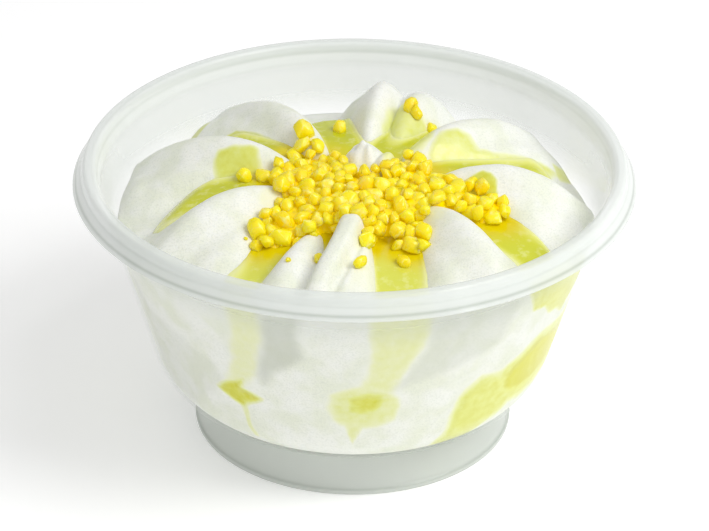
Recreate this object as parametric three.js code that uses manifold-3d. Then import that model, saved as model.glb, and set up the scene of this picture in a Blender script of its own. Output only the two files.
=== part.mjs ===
// Nougat ice cream sundae in a clear footed dessert cup.
// Millimetres, +Z up. The origin is the middle of the ring that the foot stands on.
// Azimuths are degrees seen from above, clockwise from +Y, so 90 is +X and 180 is the front.

import * as THREE from 'three';
import { mergeVertices } from 'three/addons/utils/BufferGeometryUtils.js';
import Module from 'manifold-3d';

// Cup
const cupHeight = 52.7;
const wallThickness = 0.8;
const wallSegments = 48;
const flangeBottom = { r: 50.5, z: 48.7 };
const flangeRidge = { r: 48.9, z: 51.0 };
const lipTop = { inner: 46.9, outer: 48.4 };
const wallAtFlange = 46.2;
const wallSlope = 0.293;
const bellyRadius = 12.5;
const bellyCentre = { r: 24.8, z: 20.0 };
const bellySteps = { inside: 5, outside: 4, under: 1, contents: 3 };
const footRadius = 29.1;
const footTopRadius = 27.9;
const footBead = 1.0;
const footThickness = 0.9;

// Ice cream, a fill with a piped rosette on top
const contentsGap = 0.3;
const iceRings = [0.06, 0.11, 0.16, 0.21, 0.27, 0.33, 0.39, 0.46, 0.53, 0.6, 0.68, 0.76, 0.84, 0.92, 1];
const azimuthStep = 4.5;
const fineStep = 2;
const fineRange = { from: 170, to: 206 };
const iceSideRows = [0.4];
const meetingRounds = 8;
const petalTwist = { start: 12, end: 43 };
const valleyFloor = { centre: 44.5, wall: 39.5 };
const creaseRadius = 0.7;
const innerFall = 0.025;
const outerPower = 2.15;
const bellyEaseStart = 23;
const petalSpan = 90;

// One petal of the rosette. inner and outer are its ridge's azimuths near the middle and at the wall.
// The ridge starts at radius start, is highest (peak) at radius at, and ends at height wall. Each side
// falls by a lip, lipWidth wide, and then by belly over its half of the petal, in degrees. Towards the
// wall, ease takes that share off the belly. The first of two values is for the smaller azimuths' side.
const plainPetal = {
  start: 12,
  endFall: 0.22,
  lip: 1.6,
  lipWidths: [3.2, 3.2],
  halves: [20, 20],
  belly: 7,
  powers: [2.5, 2.5],
  ease: 0.6,
};
const thinPetal = {
  ...plainPetal,
  start: 17,
  lip: 0.7,
  lipWidths: [2, 2],
  belly: 4.5,
  powers: [3, 3],
};
const petals = [
  {
    ...plainPetal,
    inner: 8,
    outer: 9,
    start: 14,
    peak: 52.4,
    at: 30,
    wall: 43,
    halves: [14, 11],
    lip: 2,
    lipWidths: [2.6, 2.6],
    ease: 0.1,
  },
  { ...thinPetal, inner: 23, outer: 20, start: 8, peak: 50.0, at: 31, wall: 42.0, halves: [8, 9], ease: 0 },
  {
    ...plainPetal,
    inner: 46,
    outer: 48,
    start: 14,
    peak: 50.8,
    at: 24,
    wall: 43.5,
    halves: [18, 22],
    ease: 0.5,
  },
  { ...plainPetal, inner: 81, outer: 90, peak: 50.3, at: 26, wall: 41.5, halves: [18, 26] },
  { ...plainPetal, inner: 129, outer: 139, start: 14, peak: 51.5, at: 24.5, wall: 42.0, halves: [13, 23] },
  { ...thinPetal, inner: 180, outer: 186, peak: 49.3, at: 24, wall: 43.0, halves: [11, 12], powers: [5, 5] },
  { ...thinPetal, inner: 203, outer: 201, peak: 49.2, at: 26, wall: 42.0, halves: [14, 7.5] },
  { ...plainPetal, inner: 251, outer: 241, peak: 50.8, at: 22, wall: 41.0, halves: [29, 17], belly: 7.5 },
  { ...plainPetal, inner: 296, outer: 293, peak: 51.4, at: 23, wall: 42.5, halves: [24, 17], belly: 7.5 },
  {
    ...plainPetal,
    inner: 331,
    outer: 327,
    start: 14,
    peak: 51.7,
    at: 22,
    wall: 43.5,
    halves: [19, 14],
    ease: 0.4,
  },
];

// The thin fold that stands on the front petal. Its sides fall by drop over half its width, and by the
// power of the distance.
const fold = {
  inner: 181.5,
  outer: 191,
  start: 17,
  endFall: 0.5,
  peak: 51.5,
  at: 22,
  wall: 43.5,
  halfWidth: 2,
  drop: 2.2,
  power: 3.5,
  widest: 4,
};

// The peak in the middle, where the piping ended, with a lump beside it, and how far grains keep from
// the peak's axis
const tips = [
  { x: 1.8, y: 7.5, height: 53.2, radius: 6, power: 1.6 },
  { x: 4.8, y: 4.8, height: 50.4, radius: 3.8, power: 2 },
];
const tipClear = 4.8;

// Sauce, which lies in the valleys. rise lifts it, and beyond its reach in a valley it falls faster.
const sauceSurface = { centre: 46.7, fall: 0.0029, edgeFall: 0.12, bottom: 35, riseStart: 8, riseEnd: 20 };
const valleys = [
  { azimuth: 34, reach: 29, rise: 1.2 },
  { azimuth: 64, reach: 35, rise: 1.4 },
  { azimuth: 98, reach: 28, rise: 1.0 },
  { azimuth: 108, reach: 31, rise: 0.9 },
  { azimuth: 118, reach: 38, rise: 0.8 },
  { azimuth: 128, reach: 42, rise: 0.5 },
  { azimuth: 146, reach: 35, rise: 0.1 },
  { azimuth: 156, reach: 40, rise: 0 },
  { azimuth: 163, reach: 44, rise: 0 },
  { azimuth: 169, reach: 44, rise: 0 },
  { azimuth: 176, reach: 36, rise: 0 },
  { azimuth: 208, reach: 36, rise: 0.1 },
  { azimuth: 216, reach: 44, rise: 0.2 },
  { azimuth: 222, reach: 43, rise: 0.2 },
  { azimuth: 232, reach: 36, rise: 0.3 },
  { azimuth: 246, reach: 36, rise: 0.4 },
  { azimuth: 256, reach: 33, rise: 0.9 },
  { azimuth: 266, reach: 29, rise: 1.3 },
  { azimuth: 277, reach: 25, rise: 1.5 },
  { azimuth: 295, reach: 24, rise: 1.8 },
  { azimuth: 314, reach: 29, rise: 2.4 },
  { azimuth: 330, reach: 24, rise: 1.6 },
  { azimuth: 348, reach: 27, rise: 1.6 },
];
const sauceRings = [0.18, 0.36, 0.54, 0.7, 0.85, 1];

// Nougat grains: a mound of them, and the ones that lie alone
const coveringGap = 0.4;
const mound = { x: 2, y: -4.5, halfX: 26, halfY: 19, top: 50.0, fall: 4.2, bottom: 43 };
const moundRings = [0.25, 0.5, 0.78, 1.05];
const moundSegments = 24;
const grainCount = 52;
const grainTries = 4000;
const grainSize = { small: 2.9, large: 4.5 };
const grainSpacing = 3.25;
const grainRise = 0.28;
const grainLeast = 0.5;
const seed = 7;
const strayGrains = [
  { azimuth: 326, radius: 16.5, size: 4.2 },
  { azimuth: 353, radius: 22.0, size: 3.2 },
  { azimuth: 22, radius: 27.4, size: 3.4 },
  { azimuth: 25, radius: 26.6, size: 3.0 },
  { azimuth: 30, radius: 28.2, size: 2.8 },
  { azimuth: 278, radius: 20.1, size: 3.6 },
  { azimuth: 279, radius: 16.7, size: 3.4 },
  { azimuth: 95, radius: 22.9, size: 3.6 },
  { azimuth: 111, radius: 26.2, size: 4.6 },
  { azimuth: 152, radius: 21.9, size: 5.0 },
  { azimuth: 160, radius: 25.4, size: 3.0 },
  { azimuth: 178, radius: 29.7, size: 3.4 },
  { azimuth: 193, radius: 26.7, size: 2.2 },
  { azimuth: 216, radius: 21.6, size: 4.4 },
  { azimuth: 222, radius: 25.6, size: 3.0 },
];

const degree = Math.PI / 180;

const wasm = await Module();
wasm.setup();

// Cup wall

const slant = Math.sqrt(1 + wallSlope * wallSlope);

function outerWall(z) {
  return wallAtFlange + wallSlope * (z - flangeBottom.z);
}

// Inner wall, taken in by a gap
function innerWall(z, gap = 0) {
  return outerWall(z) - (wallThickness + gap) * slant;
}

const wallAngle = Math.atan(wallSlope);
const bellyTop = bellyCentre.z - bellyRadius * Math.sin(wallAngle);

// Points of the belly's arc, from azimuth a to b in degrees, 0 being outwards and -90 down
function bellyArc(radius, a, b, steps) {
  const points = [];
  for (let i = 0; i <= steps; i++) {
    const angle = (a + (b - a) * i / steps) * degree;
    points.push([bellyCentre.r + radius * Math.cos(angle), bellyCentre.z + radius * Math.sin(angle)]);
  }
  return points;
}

// The angle on the belly's arc that lies at radius r from the axis
function bellyAngleAt(r, radius) {
  return -Math.acos((r - bellyCentre.r) / radius) / degree;
}

// Turns a profile that is given from the inside over the top and down the outside
function turned(points, segments) {
  const profile = points.map(([r, z]) => new THREE.Vector2(r, z)).reverse();
  const geometry = new THREE.LatheGeometry(profile, segments);
  geometry.rotateX(Math.PI / 2);
  return geometry;
}

function cupGeometry() {
  const innerRadius = bellyRadius - wallThickness;
  const tangent = -wallAngle / degree;
  const footInner = footTopRadius - footThickness;
  const profile = [
    [0, bellyCentre.z - innerRadius],
    ...bellyArc(innerRadius, -90, tangent, bellySteps.inside),
    [innerWall(50.9), 50.9],
    [lipTop.inner - 0.55, 52.1],
    [lipTop.inner, cupHeight],
    [lipTop.outer, cupHeight],
    [flangeRidge.r - 0.1, flangeRidge.z + 1.1],
    [flangeRidge.r, flangeRidge.z],
    [flangeBottom.r, flangeBottom.z],
    [flangeBottom.r - wallThickness, flangeBottom.z],
    [flangeRidge.r - wallThickness, flangeRidge.z],
    [flangeRidge.r - 2 * wallThickness, flangeRidge.z + 0.7],
    [outerWall(50.4), 50.4],
    ...bellyArc(bellyRadius, tangent, bellyAngleAt(footTopRadius, bellyRadius), bellySteps.outside),
    [footRadius - 0.55, footBead + 0.3],
    [footRadius, footBead],
    [footRadius, 0],
    [footRadius - footThickness, 0],
    [footRadius - footThickness - 0.55, footBead + 0.3],
    ...bellyArc(bellyRadius, bellyAngleAt(footInner, bellyRadius), -90, bellySteps.under),
    [0, bellyCentre.z - bellyRadius],
  ];
  return turned(profile, wallSegments);
}

// Solids

function solid(geometry) {
  const plain = geometry.clone();
  plain.deleteAttribute('normal');
  plain.deleteAttribute('uv');
  const merged = mergeVertices(plain, 1e-4);
  const corners = Array.from(merged.index.array);
  const triVerts = [];
  for (let i = 0; i < corners.length; i += 3) {
    const [a, b, c] = corners.slice(i, i + 3);
    if (a !== b && b !== c && c !== a) {
      triVerts.push(a, b, c);
    }
  }
  return new wasm.Manifold(new wasm.Mesh({
    numProp: 3,
    vertProperties: new Float32Array(merged.attributes.position.array),
    triVerts: new Uint32Array(triVerts),
  }));
}

function geometryOf(manifold) {
  const mesh = manifold.getMesh();
  const geometry = new THREE.BufferGeometry();
  geometry.setAttribute('position', new THREE.BufferAttribute(new Float32Array(mesh.vertProperties), 3));
  geometry.setIndex(new THREE.BufferAttribute(new Uint32Array(mesh.triVerts), 1));
  geometry.computeVertexNormals();
  return geometry;
}

function piece(name, geometry, color, roughness) {
  const material = new THREE.MeshStandardMaterial({ color, roughness, metalness: 0 });
  const mesh = new THREE.Mesh(geometry, material);
  mesh.name = name;
  return mesh;
}

// Ice cream's top surface

function smoothStep(t) {
  const u = Math.min(1, Math.max(0, t));
  return u * u * (3 - 2 * u);
}

function smoothMax(a, b, k) {
  const h = Math.max(k - Math.abs(a - b), 0) / k;
  return Math.max(a, b) + h * h * k / 4;
}

// Degrees from a ridge to an azimuth, from -180 to 180
function turnFrom(ridge, azimuth) {
  return (azimuth - ridge + 540) % 360 - 180;
}

function ridgeAzimuth(petal, r) {
  const twist = smoothStep((r - petalTwist.start) / (petalTwist.end - petalTwist.start));
  return petal.inner + (petal.outer - petal.inner) * twist;
}

function ridgeHeight(petal, r) {
  const d = r - petal.at;
  if (d < 0) {
    const end = Math.max(0, petal.start - r);
    return petal.peak - innerFall * d * d - petal.endFall * end * end;
  }
  return petal.peak - (petal.peak - petal.wall) * Math.pow(d / (petalTwist.end - petal.at), outerPower);
}

function petalHeight(petal, r, azimuth) {
  const turn = turnFrom(ridgeAzimuth(petal, r), azimuth);
  if (Math.abs(turn) > petalSpan) {
    return 0;
  }
  const half = turn < 0 ? 0 : 1;
  const side = r * Math.sin(turn * degree);
  const lip = petal.lip * (1 - Math.exp(-Math.pow(side / petal.lipWidths[half], 2)));
  const ease = petal.ease * smoothStep((r - bellyEaseStart) / (petalTwist.end - bellyEaseStart));
  const belly = petal.belly * (1 - ease) * Math.pow(Math.abs(turn) / petal.halves[half], petal.powers[half]);
  return ridgeHeight(petal, r) - lip - belly;
}

function foldHeight(r, azimuth) {
  const turn = turnFrom(ridgeAzimuth(fold, r), azimuth);
  if (Math.abs(turn) > petalSpan) {
    return 0;
  }
  const side = Math.min(fold.widest, Math.abs(r * Math.sin(turn * degree)) / fold.halfWidth);
  return ridgeHeight(fold, r) - fold.drop * Math.pow(side, fold.power);
}

function tipHeight(tip, x, y) {
  const d = Math.hypot(x - tip.x, y - tip.y) / tip.radius;
  return tip.height - (tip.height - valleyFloor.centre) * Math.pow(d, tip.power);
}

function azimuthOf(x, y) {
  return (Math.atan2(x, y) / degree + 360) % 360;
}

function iceHeight(x, y) {
  const r = Math.hypot(x, y);
  const azimuth = azimuthOf(x, y);
  const out = Math.min(1, r / petalTwist.end);
  let z = valleyFloor.centre + (valleyFloor.wall - valleyFloor.centre) * out * out * out;
  for (const petal of petals) {
    z = smoothMax(z, petalHeight(petal, r, azimuth), creaseRadius);
  }
  z = smoothMax(z, foldHeight(r, azimuth), creaseRadius);
  for (const tip of tips) {
    z = smoothMax(z, tipHeight(tip, x, y), creaseRadius);
  }
  return z;
}

// Sauce's and mound's top surfaces

// Reach and rise at an azimuth, between those of the two valleys next to it
function valleyAt(azimuth) {
  const next = Math.max(0, valleys.findIndex((valley) => valley.azimuth > azimuth));
  const b = valleys[next];
  const a = valleys[(next + valleys.length - 1) % valleys.length];
  const t = ((azimuth - a.azimuth + 360) % 360) / ((b.azimuth - a.azimuth + 360) % 360);
  return { reach: a.reach + (b.reach - a.reach) * t, rise: a.rise + (b.rise - a.rise) * t };
}

function sauceHeight(x, y) {
  const r = Math.hypot(x, y);
  const { reach, rise } = valleyAt(azimuthOf(x, y));
  const beyond = Math.max(0, r - reach);
  const { centre, fall, edgeFall, riseStart, riseEnd } = sauceSurface;
  const lifted = rise * smoothStep((r - riseStart) / (riseEnd - riseStart));
  return centre - fall * r * r - edgeFall * beyond * beyond + lifted;
}

function moundHeight(x, y) {
  const u = (x - mound.x) / mound.halfX;
  const v = (y - mound.y) / mound.halfY;
  return mound.top - mound.fall * (u * u + v * v);
}

// Turned shapes whose vertices follow a top surface

// Azimuths in radians, down from 180 degrees, closer together where the front petal's fold is
function contentAzimuths() {
  const list = [];
  let azimuth = 180;
  while (azimuth > -180) {
    list.push(azimuth * degree);
    const fine = azimuth > fineRange.from || azimuth <= fineRange.to - 360;
    azimuth -= fine ? fineStep : azimuthStep;
  }
  return list;
}

const azimuths = contentAzimuths();

// Moves each vertex of a turned shape. place gets the profile point's number and the azimuth.
function moved(count, turns, place) {
  const points = [];
  for (let j = 0; j < count; j++) {
    points.push([j === 0 || j === count - 1 ? 0 : 1, count - j]);
  }
  const geometry = turned(points, turns.length);
  const position = geometry.attributes.position;
  for (let i = 0; i <= turns.length; i++) {
    const azimuth = turns[i % turns.length];
    for (let j = 0; j < count; j++) {
      const [x, y, z] = place(j, azimuth);
      position.setXYZ((i + 1) * count - 1 - j, x, y, z);
    }
  }
  return geometry;
}

function polar(r, azimuth) {
  return [r * Math.sin(azimuth), r * Math.cos(azimuth)];
}

// The height at which a top surface meets the wall, with a gap to it
function edgeHeight(surface, azimuth) {
  let z = valleyFloor.wall;
  for (let i = 0; i < meetingRounds; i++) {
    z = surface(...polar(innerWall(z, contentsGap), azimuth));
  }
  return z;
}

function iceGeometry() {
  const radius = bellyRadius - wallThickness - contentsGap;
  const bowl = bellyArc(radius, -wallAngle / degree, -90, bellySteps.contents);
  const sideStart = iceRings.length + 1;
  const bowlStart = sideStart + iceSideRows.length;
  const count = bowlStart + bowl.length;
  return moved(count, azimuths, (j, azimuth) => {
    if (j === 0) {
      return [0, 0, iceHeight(0, 0)];
    }
    const edge = edgeHeight(iceHeight, azimuth);
    if (j < sideStart) {
      const [x, y] = polar(iceRings[j - 1] * innerWall(edge, contentsGap), azimuth);
      return [x, y, iceHeight(x, y)];
    }
    if (j < bowlStart) {
      const z = edge + (bellyTop - edge) * iceSideRows[j - sideStart];
      return [...polar(innerWall(z, contentsGap), azimuth), z];
    }
    const [r, z] = j === count - 1 ? [0, bellyCentre.z - radius] : bowl[j - bowlStart];
    return [...polar(r, azimuth), z];
  });
}

// The space that others keep clear of above the ice cream, out to past the wall
function iceCover() {
  const last = iceRings.length + 1;
  return moved(last + 3, azimuths, (j, azimuth) => {
    const edge = innerWall(edgeHeight(iceHeight, azimuth), contentsGap);
    const outside = edge + 3 * wallThickness;
    if (j > last) {
      return [...polar(j === last + 1 ? outside : 0, azimuth), 0];
    }
    const r = j === 0 ? 0 : j === last ? edge : iceRings[j - 1] * edge;
    const [x, y] = polar(r, azimuth);
    return [...polar(j === last ? outside : r, azimuth), iceHeight(x, y) + coveringGap];
  });
}

const everySecond = azimuths.filter((azimuth, i) => i % 2 === 0);

function sauceGeometry() {
  const last = sauceRings.length;
  return moved(last + 3, everySecond, (j, azimuth) => {
    if (j > last) {
      const r = j === last + 1 ? innerWall(sauceSurface.bottom, contentsGap) : 0;
      return [...polar(r, azimuth), sauceSurface.bottom];
    }
    const edge = edgeHeight(sauceHeight, azimuth);
    const r = j === 0 ? 0 : sauceRings[j - 1] * innerWall(edge, contentsGap);
    const [x, y] = polar(r, azimuth);
    return [x, y, sauceHeight(x, y)];
  });
}

// The space that the mound keeps clear of above the sauce
function sauceCover() {
  const last = sauceRings.length;
  return moved(last + 3, everySecond, (j, azimuth) => {
    const r = j === 0 || j === last + 2 ? 0 : sauceRings[Math.min(j, last) - 1] * petalTwist.end;
    const [x, y] = polar(r, azimuth);
    return [x, y, j > last ? sauceSurface.bottom : sauceHeight(x, y) + coveringGap];
  });
}

function moundGeometry() {
  const turns = Array.from({ length: moundSegments }, (_, i) => Math.PI - 2 * Math.PI * i / moundSegments);
  const last = moundRings.length;
  return moved(last + 3, turns, (j, azimuth) => {
    const u = j === 0 || j === last + 2 ? 0 : moundRings[Math.min(j, last) - 1];
    const x = mound.x + u * mound.halfX * Math.sin(azimuth);
    const y = mound.y + u * mound.halfY * Math.cos(azimuth);
    return [x, y, j > last ? mound.bottom : moundHeight(x, y)];
  });
}

// Grains

// A seeded source of numbers from 0 to 1
function randomSource(start) {
  let state = start;
  return () => {
    state = (state + 0x6d2b79f5) | 0;
    let t = Math.imul(state ^ (state >>> 15), 1 | state);
    t = (t + Math.imul(t ^ (t >>> 7), 61 | t)) ^ t;
    return ((t ^ (t >>> 14)) >>> 0) / 4294967296;
  };
}

const random = randomSource(seed);

// An uneven grain with the look of a chipped pebble, drawn once and then grown or not
function grainAt(x, y, z, size) {
  const stretch = new THREE.Vector3(1, 0.72 + 0.2 * random(), 0.62 + 0.2 * random());
  const turn = new THREE.Euler(2 * Math.PI * random(), 2 * Math.PI * random(), 2 * Math.PI * random());
  const rotation = new THREE.Quaternion().setFromEuler(turn);
  return (grow) => {
    const geometry = new THREE.IcosahedronGeometry(0.5, 0);
    const scale = stretch.clone().multiplyScalar(size).addScalar(2 * grow);
    geometry.applyMatrix4(new THREE.Matrix4().compose(new THREE.Vector3(x, y, z), rotation, scale));
    return solid(geometry);
  };
}

// Places on the mound, no two closer than the spacing and clear of what stands out of it
function moundGrains() {
  const places = [];
  const grains = [];
  for (let i = 0; i < grainTries && grains.length < grainCount; i++) {
    const angle = 2 * Math.PI * random();
    const u = Math.sqrt(random());
    const x = mound.x + u * mound.halfX * Math.sin(angle);
    const y = mound.y + u * mound.halfY * Math.cos(angle);
    const z = moundHeight(x, y);
    const above = z > Math.max(iceHeight(x, y), sauceHeight(x, y)) + grainLeast;
    const clear = Math.hypot(x - tips[0].x, y - tips[0].y) > tipClear;
    const free = places.every(([px, py]) => Math.hypot(px - x, py - y) > grainSpacing);
    if (above && clear && free) {
      places.push([x, y]);
      const size = grainSize.small + (grainSize.large - grainSize.small) * random() * random();
      grains.push(grainAt(x, y, z + grainRise * size, size)(0));
    }
  }
  return grains;
}

const strays = strayGrains.map((stray) => {
  const [x, y] = polar(stray.radius, stray.azimuth * degree);
  const ice = iceHeight(x, y);
  const sauce = sauceHeight(x, y);
  const grain = grainAt(x, y, Math.max(ice, sauce) + grainRise * stray.size, stray.size);
  return { grain, onIce: ice > sauce };
});

// Pieces

// The largest of a solid's separate bodies
function largest(manifold) {
  return manifold.decompose().reduce((a, b) => (a.volume() > b.volume() ? a : b));
}

function union(solids) {
  return wasm.Manifold.union(solids);
}

const iceStrays = strays.filter((stray) => stray.onIce).map((stray) => stray.grain);
const sauceStrays = strays.filter((stray) => !stray.onIce).map((stray) => stray.grain);
const grown = (grains) => grains.map((grain) => grain(coveringGap));

const ice = union([solid(iceGeometry()), ...iceStrays.map((grain) => grain(0))]);
const aboveIce = union([solid(iceCover()), ...grown(iceStrays)]);
const sauce = largest(
  union([solid(sauceGeometry()), ...sauceStrays.map((grain) => grain(0))]).subtract(aboveIce),
);
const aboveSauce = union([solid(sauceCover()), ...grown(sauceStrays)]);
const nougat = largest(
  union([solid(moundGeometry()), ...moundGrains()]).subtract(aboveIce).subtract(aboveSauce),
);

const sundae = new THREE.Group();
sundae.add(piece('cup', cupGeometry(), 0xe3e7e2, 0.3));
sundae.add(piece('ice_cream', geometryOf(ice), 0xfcfcf5, 0.6));
sundae.add(piece('sauce', geometryOf(sauce), 0xd4d84a, 0.25));
sundae.add(piece('nougat_heap', geometryOf(nougat), 0xf0d410, 0.6));

export default sundae;
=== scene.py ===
# %% [markdown]
# # A nougat ice cream sundae in its clear footed cup
#
# The real thing is a soft white ice cream piped as a rosette of petals in a thin, slightly milky
# plastic cup. A lemon coloured sauce lies in the valleys between the petals, clings to some of them as
# a thin film and has run down between the ice cream and the wall. A heap of small yellow nougat grains
# is piled on the middle. The CAD model holds the true sizes. This lesson follows its shapes, except
# where a text below says otherwise, and gives each the surface, detail and finish of the real one.

# %% Load the frame
import math

import bmesh
import bpy
import numpy as np
from mathutils import Matrix, Vector


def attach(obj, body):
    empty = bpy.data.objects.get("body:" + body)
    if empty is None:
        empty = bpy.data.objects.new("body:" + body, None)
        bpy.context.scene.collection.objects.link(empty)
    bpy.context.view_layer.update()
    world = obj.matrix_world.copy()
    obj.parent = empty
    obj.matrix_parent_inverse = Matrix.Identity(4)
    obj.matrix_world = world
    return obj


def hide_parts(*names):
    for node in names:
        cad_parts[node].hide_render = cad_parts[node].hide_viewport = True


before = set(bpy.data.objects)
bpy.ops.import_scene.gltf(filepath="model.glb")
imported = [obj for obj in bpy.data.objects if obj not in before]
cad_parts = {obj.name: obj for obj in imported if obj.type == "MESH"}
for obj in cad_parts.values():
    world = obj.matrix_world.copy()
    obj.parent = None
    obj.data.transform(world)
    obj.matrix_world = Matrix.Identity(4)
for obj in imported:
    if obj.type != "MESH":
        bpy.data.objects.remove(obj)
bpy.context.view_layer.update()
MM = 0.001

# %% [markdown]
# ## The camera
#
# The photograph was taken with a long lens from some 30 degrees above the table, so the cup's rim is
# an open ellipse and hardly any perspective shows. The camera stands 14 cup radii away, and its lens
# follows from the size of the cup in the picture.

# %% Camera
CUP_RADIUS = 50.5 * MM
FLANGE_HEIGHT = 48.7 * MM
IMAGE_WIDTH = 709
FOCAL_PIXELS = 3941.1
IMAGE_MIDDLE = 353.82

camera_distance = 14.0 * CUP_RADIUS
camera_elevation = math.radians(28.69)
camera_pitch = math.radians(29.95)
camera_roll = math.radians(0.49)

camera_data = bpy.data.cameras.new("camera")
camera_data.sensor_width = 36.0
camera_data.lens = FOCAL_PIXELS / IMAGE_WIDTH * camera_data.sensor_width
camera_data.shift_x = (IMAGE_WIDTH / 2 - IMAGE_MIDDLE) / IMAGE_WIDTH
camera = bpy.data.objects.new("camera", camera_data)
bpy.context.collection.objects.link(camera)
stand = Vector((
    0,
    -camera_distance * math.cos(camera_elevation),
    camera_distance * math.sin(camera_elevation) + FLANGE_HEIGHT,
))
camera.matrix_world = (
    Matrix.Translation(stand)
    @ Matrix.Rotation(math.pi / 2 - camera_pitch, 4, "X")
    @ Matrix.Rotation(camera_roll, 4, "Z")
)
bpy.context.scene.camera = camera
print("camera lens", round(camera_data.lens, 1), "mm")

# %% [markdown]
# ## The rosette as a height field
#
# Soft ice cream that is piped into a cup has a top that a height over every point of the cup can
# describe. It could be sculpted, but a formula keeps it close to the CAD model: each petal is a ridge
# that turns a little on its way out to the wall, with a narrow rounded crest and a hollow flank on
# both sides. A petal is highest some way from the middle and falls towards the wall. Azimuths are
# degrees seen from above, clockwise from +Y, so 180 is the front. Four petals are set up to a
# millimetre lower than in the CAD model, and two begin further in, as that fits the photograph better.

# %% Petal table
# near and far: the ridge's azimuth by the middle and at the wall; start: radius where the ridge
# begins; peak at radius at; wall: height at the wall; then the widths and depths of the two sides
PETAL_FIELDS = (
    "near far start peak at wall half_a half_b lip lip_width belly power_a power_b end_fall ease"
)
PETAL_ROWS = [
    (8, 9, 14, 51.6, 30, 43.0, 14, 11, 2.0, 2.6, 7, 2.5, 2.5, 0.22, 0.1),
    (23, 20, 8, 50.0, 31, 42.0, 8, 9, 0.7, 2, 4.5, 3, 3, 0.22, 0),
    (46, 48, 14, 50.8, 24, 43.5, 18, 22, 1.6, 3.2, 7, 2.5, 2.5, 0.22, 0.5),
    (81, 90, 12, 50.3, 26, 41.5, 18, 26, 1.6, 3.2, 7, 2.5, 2.5, 0.22, 0.6),
    (129, 139, 14, 50.7, 24.5, 42.0, 13, 23, 1.6, 3.2, 7, 2.5, 2.5, 0.22, 0.6),
    (180, 186, 17, 49.3, 24, 43.0, 11, 12, 0.7, 2, 4.5, 5, 5, 0.22, 0.6),
    (203, 201, 17, 48.2, 26, 42.0, 14, 7.5, 0.7, 2, 4.5, 3, 3, 0.22, 0.6),
    (251, 241, 9.5, 50.8, 22, 41.0, 31, 17, 1.6, 3.2, 7.5, 2.5, 2.5, 0.22, 0.6),
    (296, 293, 10.5, 51.2, 23, 42.5, 24, 17, 1.6, 3.2, 7.5, 2.5, 2.5, 0.22, 0.6),
    (331, 327, 14, 51.7, 22, 43.5, 19, 14, 1.6, 3.2, 7, 2.5, 2.5, 0.22, 0.4),
]
PETALS = [dict(zip(PETAL_FIELDS.split(), row)) for row in PETAL_ROWS]
FOLD = {"near": 181.5, "far": 191, "start": 17, "end_fall": 0.5, "peak": 51.5, "at": 22, "wall": 43.5}
FOLD_HALF_WIDTH, FOLD_DROP, FOLD_POWER = 2.3, 2.2, 3.5
TIPS = [
    {"x": 1.8, "y": 7.5, "height": 53.2, "radius": 6.0, "power": 1.6},
    {"x": 4.8, "y": 4.8, "height": 50.4, "radius": 3.8, "power": 2.0},
]
WALL_REACH = 43.0
TWIST_START = 12.0
FLOOR_MIDDLE, FLOOR_WALL = 44.5, 39.5
CREASE = 0.7
INNER_FALL, OUTER_POWER = 0.025, 2.15
EASE_START = 23.0
print(len(PETALS), "petals, a fold and a tip")


# %% Height of the ice cream
def smooth_step(t):
    u = np.clip(t, 0, 1)
    return u * u * (3 - 2 * u)


def smooth_max(a, b, k=CREASE):
    h = np.maximum(k - np.abs(a - b), 0) / k
    return np.maximum(a, b) + h * h * k / 4


def turn_from(ridge, azimuth):
    return (azimuth - ridge + 540) % 360 - 180


def ridge_azimuth(petal, r):
    twist = smooth_step((r - TWIST_START) / (WALL_REACH - TWIST_START))
    return petal["near"] + (petal["far"] - petal["near"]) * twist


def ridge_height(petal, r):
    d = r - petal["at"]
    end = np.maximum(0, petal["start"] - r)
    inner = petal["peak"] - INNER_FALL * d * d - petal["end_fall"] * end * end
    out = np.maximum(d, 0) / (WALL_REACH - petal["at"])
    outer = petal["peak"] - (petal["peak"] - petal["wall"]) * out ** OUTER_POWER
    return np.where(d < 0, inner, outer)


def petal_height(petal, r, azimuth):
    turn = turn_from(ridge_azimuth(petal, r), azimuth)
    side = r * np.sin(np.radians(turn))
    half = np.where(turn < 0, petal["half_a"], petal["half_b"])
    power = np.where(turn < 0, petal["power_a"], petal["power_b"])
    lip = petal["lip"] * (1 - np.exp(-((side / petal["lip_width"]) ** 2)))
    ease = petal["ease"] * smooth_step((r - EASE_START) / (WALL_REACH - EASE_START))
    belly = petal["belly"] * (1 - ease) * (np.abs(turn) / half) ** power
    return np.where(np.abs(turn) > 90, 0, ridge_height(petal, r) - lip - belly)


def fold_height(r, azimuth):
    turn = turn_from(ridge_azimuth(FOLD, r), azimuth)
    side = np.abs(r * np.sin(np.radians(turn))) / FOLD_HALF_WIDTH
    fall = FOLD_DROP * np.minimum(side, 4) ** FOLD_POWER
    return np.where(np.abs(turn) > 90, 0, ridge_height(FOLD, r) - fall)


def tip_height(tip, x, y):
    d = np.hypot(x - tip["x"], y - tip["y"]) / tip["radius"]
    return tip["height"] - (tip["height"] - FLOOR_MIDDLE) * d ** tip["power"]


def ice_height(x, y):
    """Height of the ice cream's top in mm, over a point in mm."""
    r = np.hypot(x, y)
    azimuth = np.degrees(np.arctan2(x, y)) % 360
    z = FLOOR_MIDDLE + (FLOOR_WALL - FLOOR_MIDDLE) * np.minimum(1, r / WALL_REACH) ** 3
    for petal in PETALS:
        z = smooth_max(z, petal_height(petal, r, azimuth))
    z = smooth_max(z, fold_height(r, azimuth))
    for tip in TIPS:
        z = smooth_max(z, tip_height(tip, x, y))
    return z


print("ice cream's tip", round(float(ice_height(1.8, 7.5)), 1), "mm")

# %% [markdown]
# ## The sauce's level and the heap's mound
#
# The sauce is thick, so it doesn't lie quite level. It stands highest around the heap and thins
# towards the wall, and how far it reaches differs from valley to valley. The heap of grains follows a
# low oval mound.

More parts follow.
